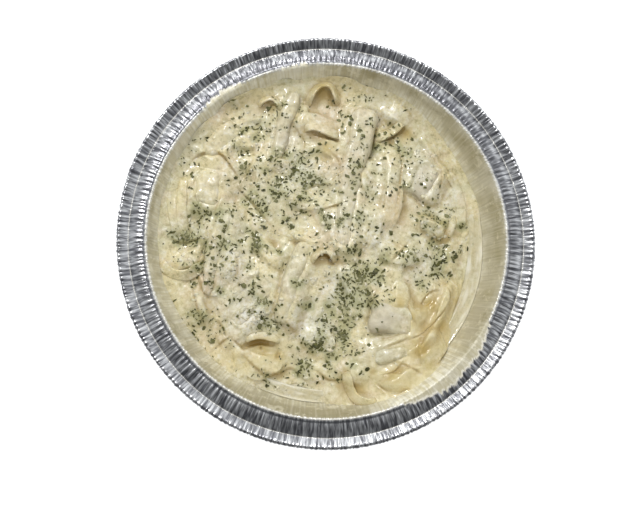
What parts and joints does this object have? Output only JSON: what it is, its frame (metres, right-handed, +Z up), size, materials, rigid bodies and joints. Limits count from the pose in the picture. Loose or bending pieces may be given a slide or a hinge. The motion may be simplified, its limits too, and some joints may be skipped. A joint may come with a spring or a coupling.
{
  "type": "foil pan of chicken alfredo",
  "caption": "Round crimped foil takeout pan filled with fettuccine in cream sauce, with cut chicken breast and chopped parsley on top.",
  "frame": {"origin": "middle of the pan's flat bottom, on the table", "axes": "+Z up out of the pan; +Y towards the side where the noodles are heaped highest; +X towards the side where the sauce lies open"},
  "size_m": [0.1904, 0.1904, 0.0445],
  "materials": {
    "foil": "bright crimped foil",
    "sauce": "wet cream sauce",
    "pasta": "sauced fettuccine with parsley flakes",
    "chicken": "sauced cooked chicken breast"
  },
  "bodies": {
    "root": {"foil_pan": "foil", "alfredo_sauce": "sauce", "fettuccine": "pasta", "chicken_long_strip": "chicken", "chicken_upper_strip": "chicken", "chicken_lower_strip": "chicken", "chicken_left_strip": "chicken", "chicken_chunk": "chicken", "chicken_small_chunk": "chicken", "chicken_right_piece": "chicken", "chicken_pale_piece": "chicken", "chicken_corner_slice": "chicken", "chicken_side_piece": "chicken"}
  },
  "joints": []
}
